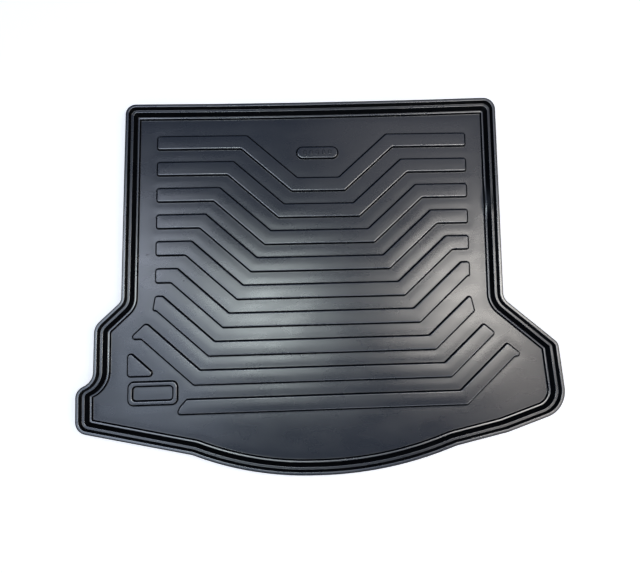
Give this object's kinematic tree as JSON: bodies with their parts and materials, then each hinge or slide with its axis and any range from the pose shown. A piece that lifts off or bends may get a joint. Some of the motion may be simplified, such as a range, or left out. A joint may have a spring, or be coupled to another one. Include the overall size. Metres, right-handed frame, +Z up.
{
  "type": "car boot liner",
  "caption": "Moulded one-piece car boot liner: a shallow black tray with a stepped raised rim, wheel-arch cut-ins, a bowed rear edge and raised chevron bands on its floor.",
  "frame": {"origin": "under the middle of the liner's box, on the plane that its underside rests on", "axes": "+X across the boot along the longest extent, +Y towards the front edge at the rear seats, +Z up out of the tray"},
  "size_m": [1.0936, 0.8688, 0.0294],
  "materials": {
    "liner_plastic": "satin moulded black, fine grain"
  },
  "bodies": {
    "root": {"boot_liner": "liner_plastic"}
  },
  "joints": []
}
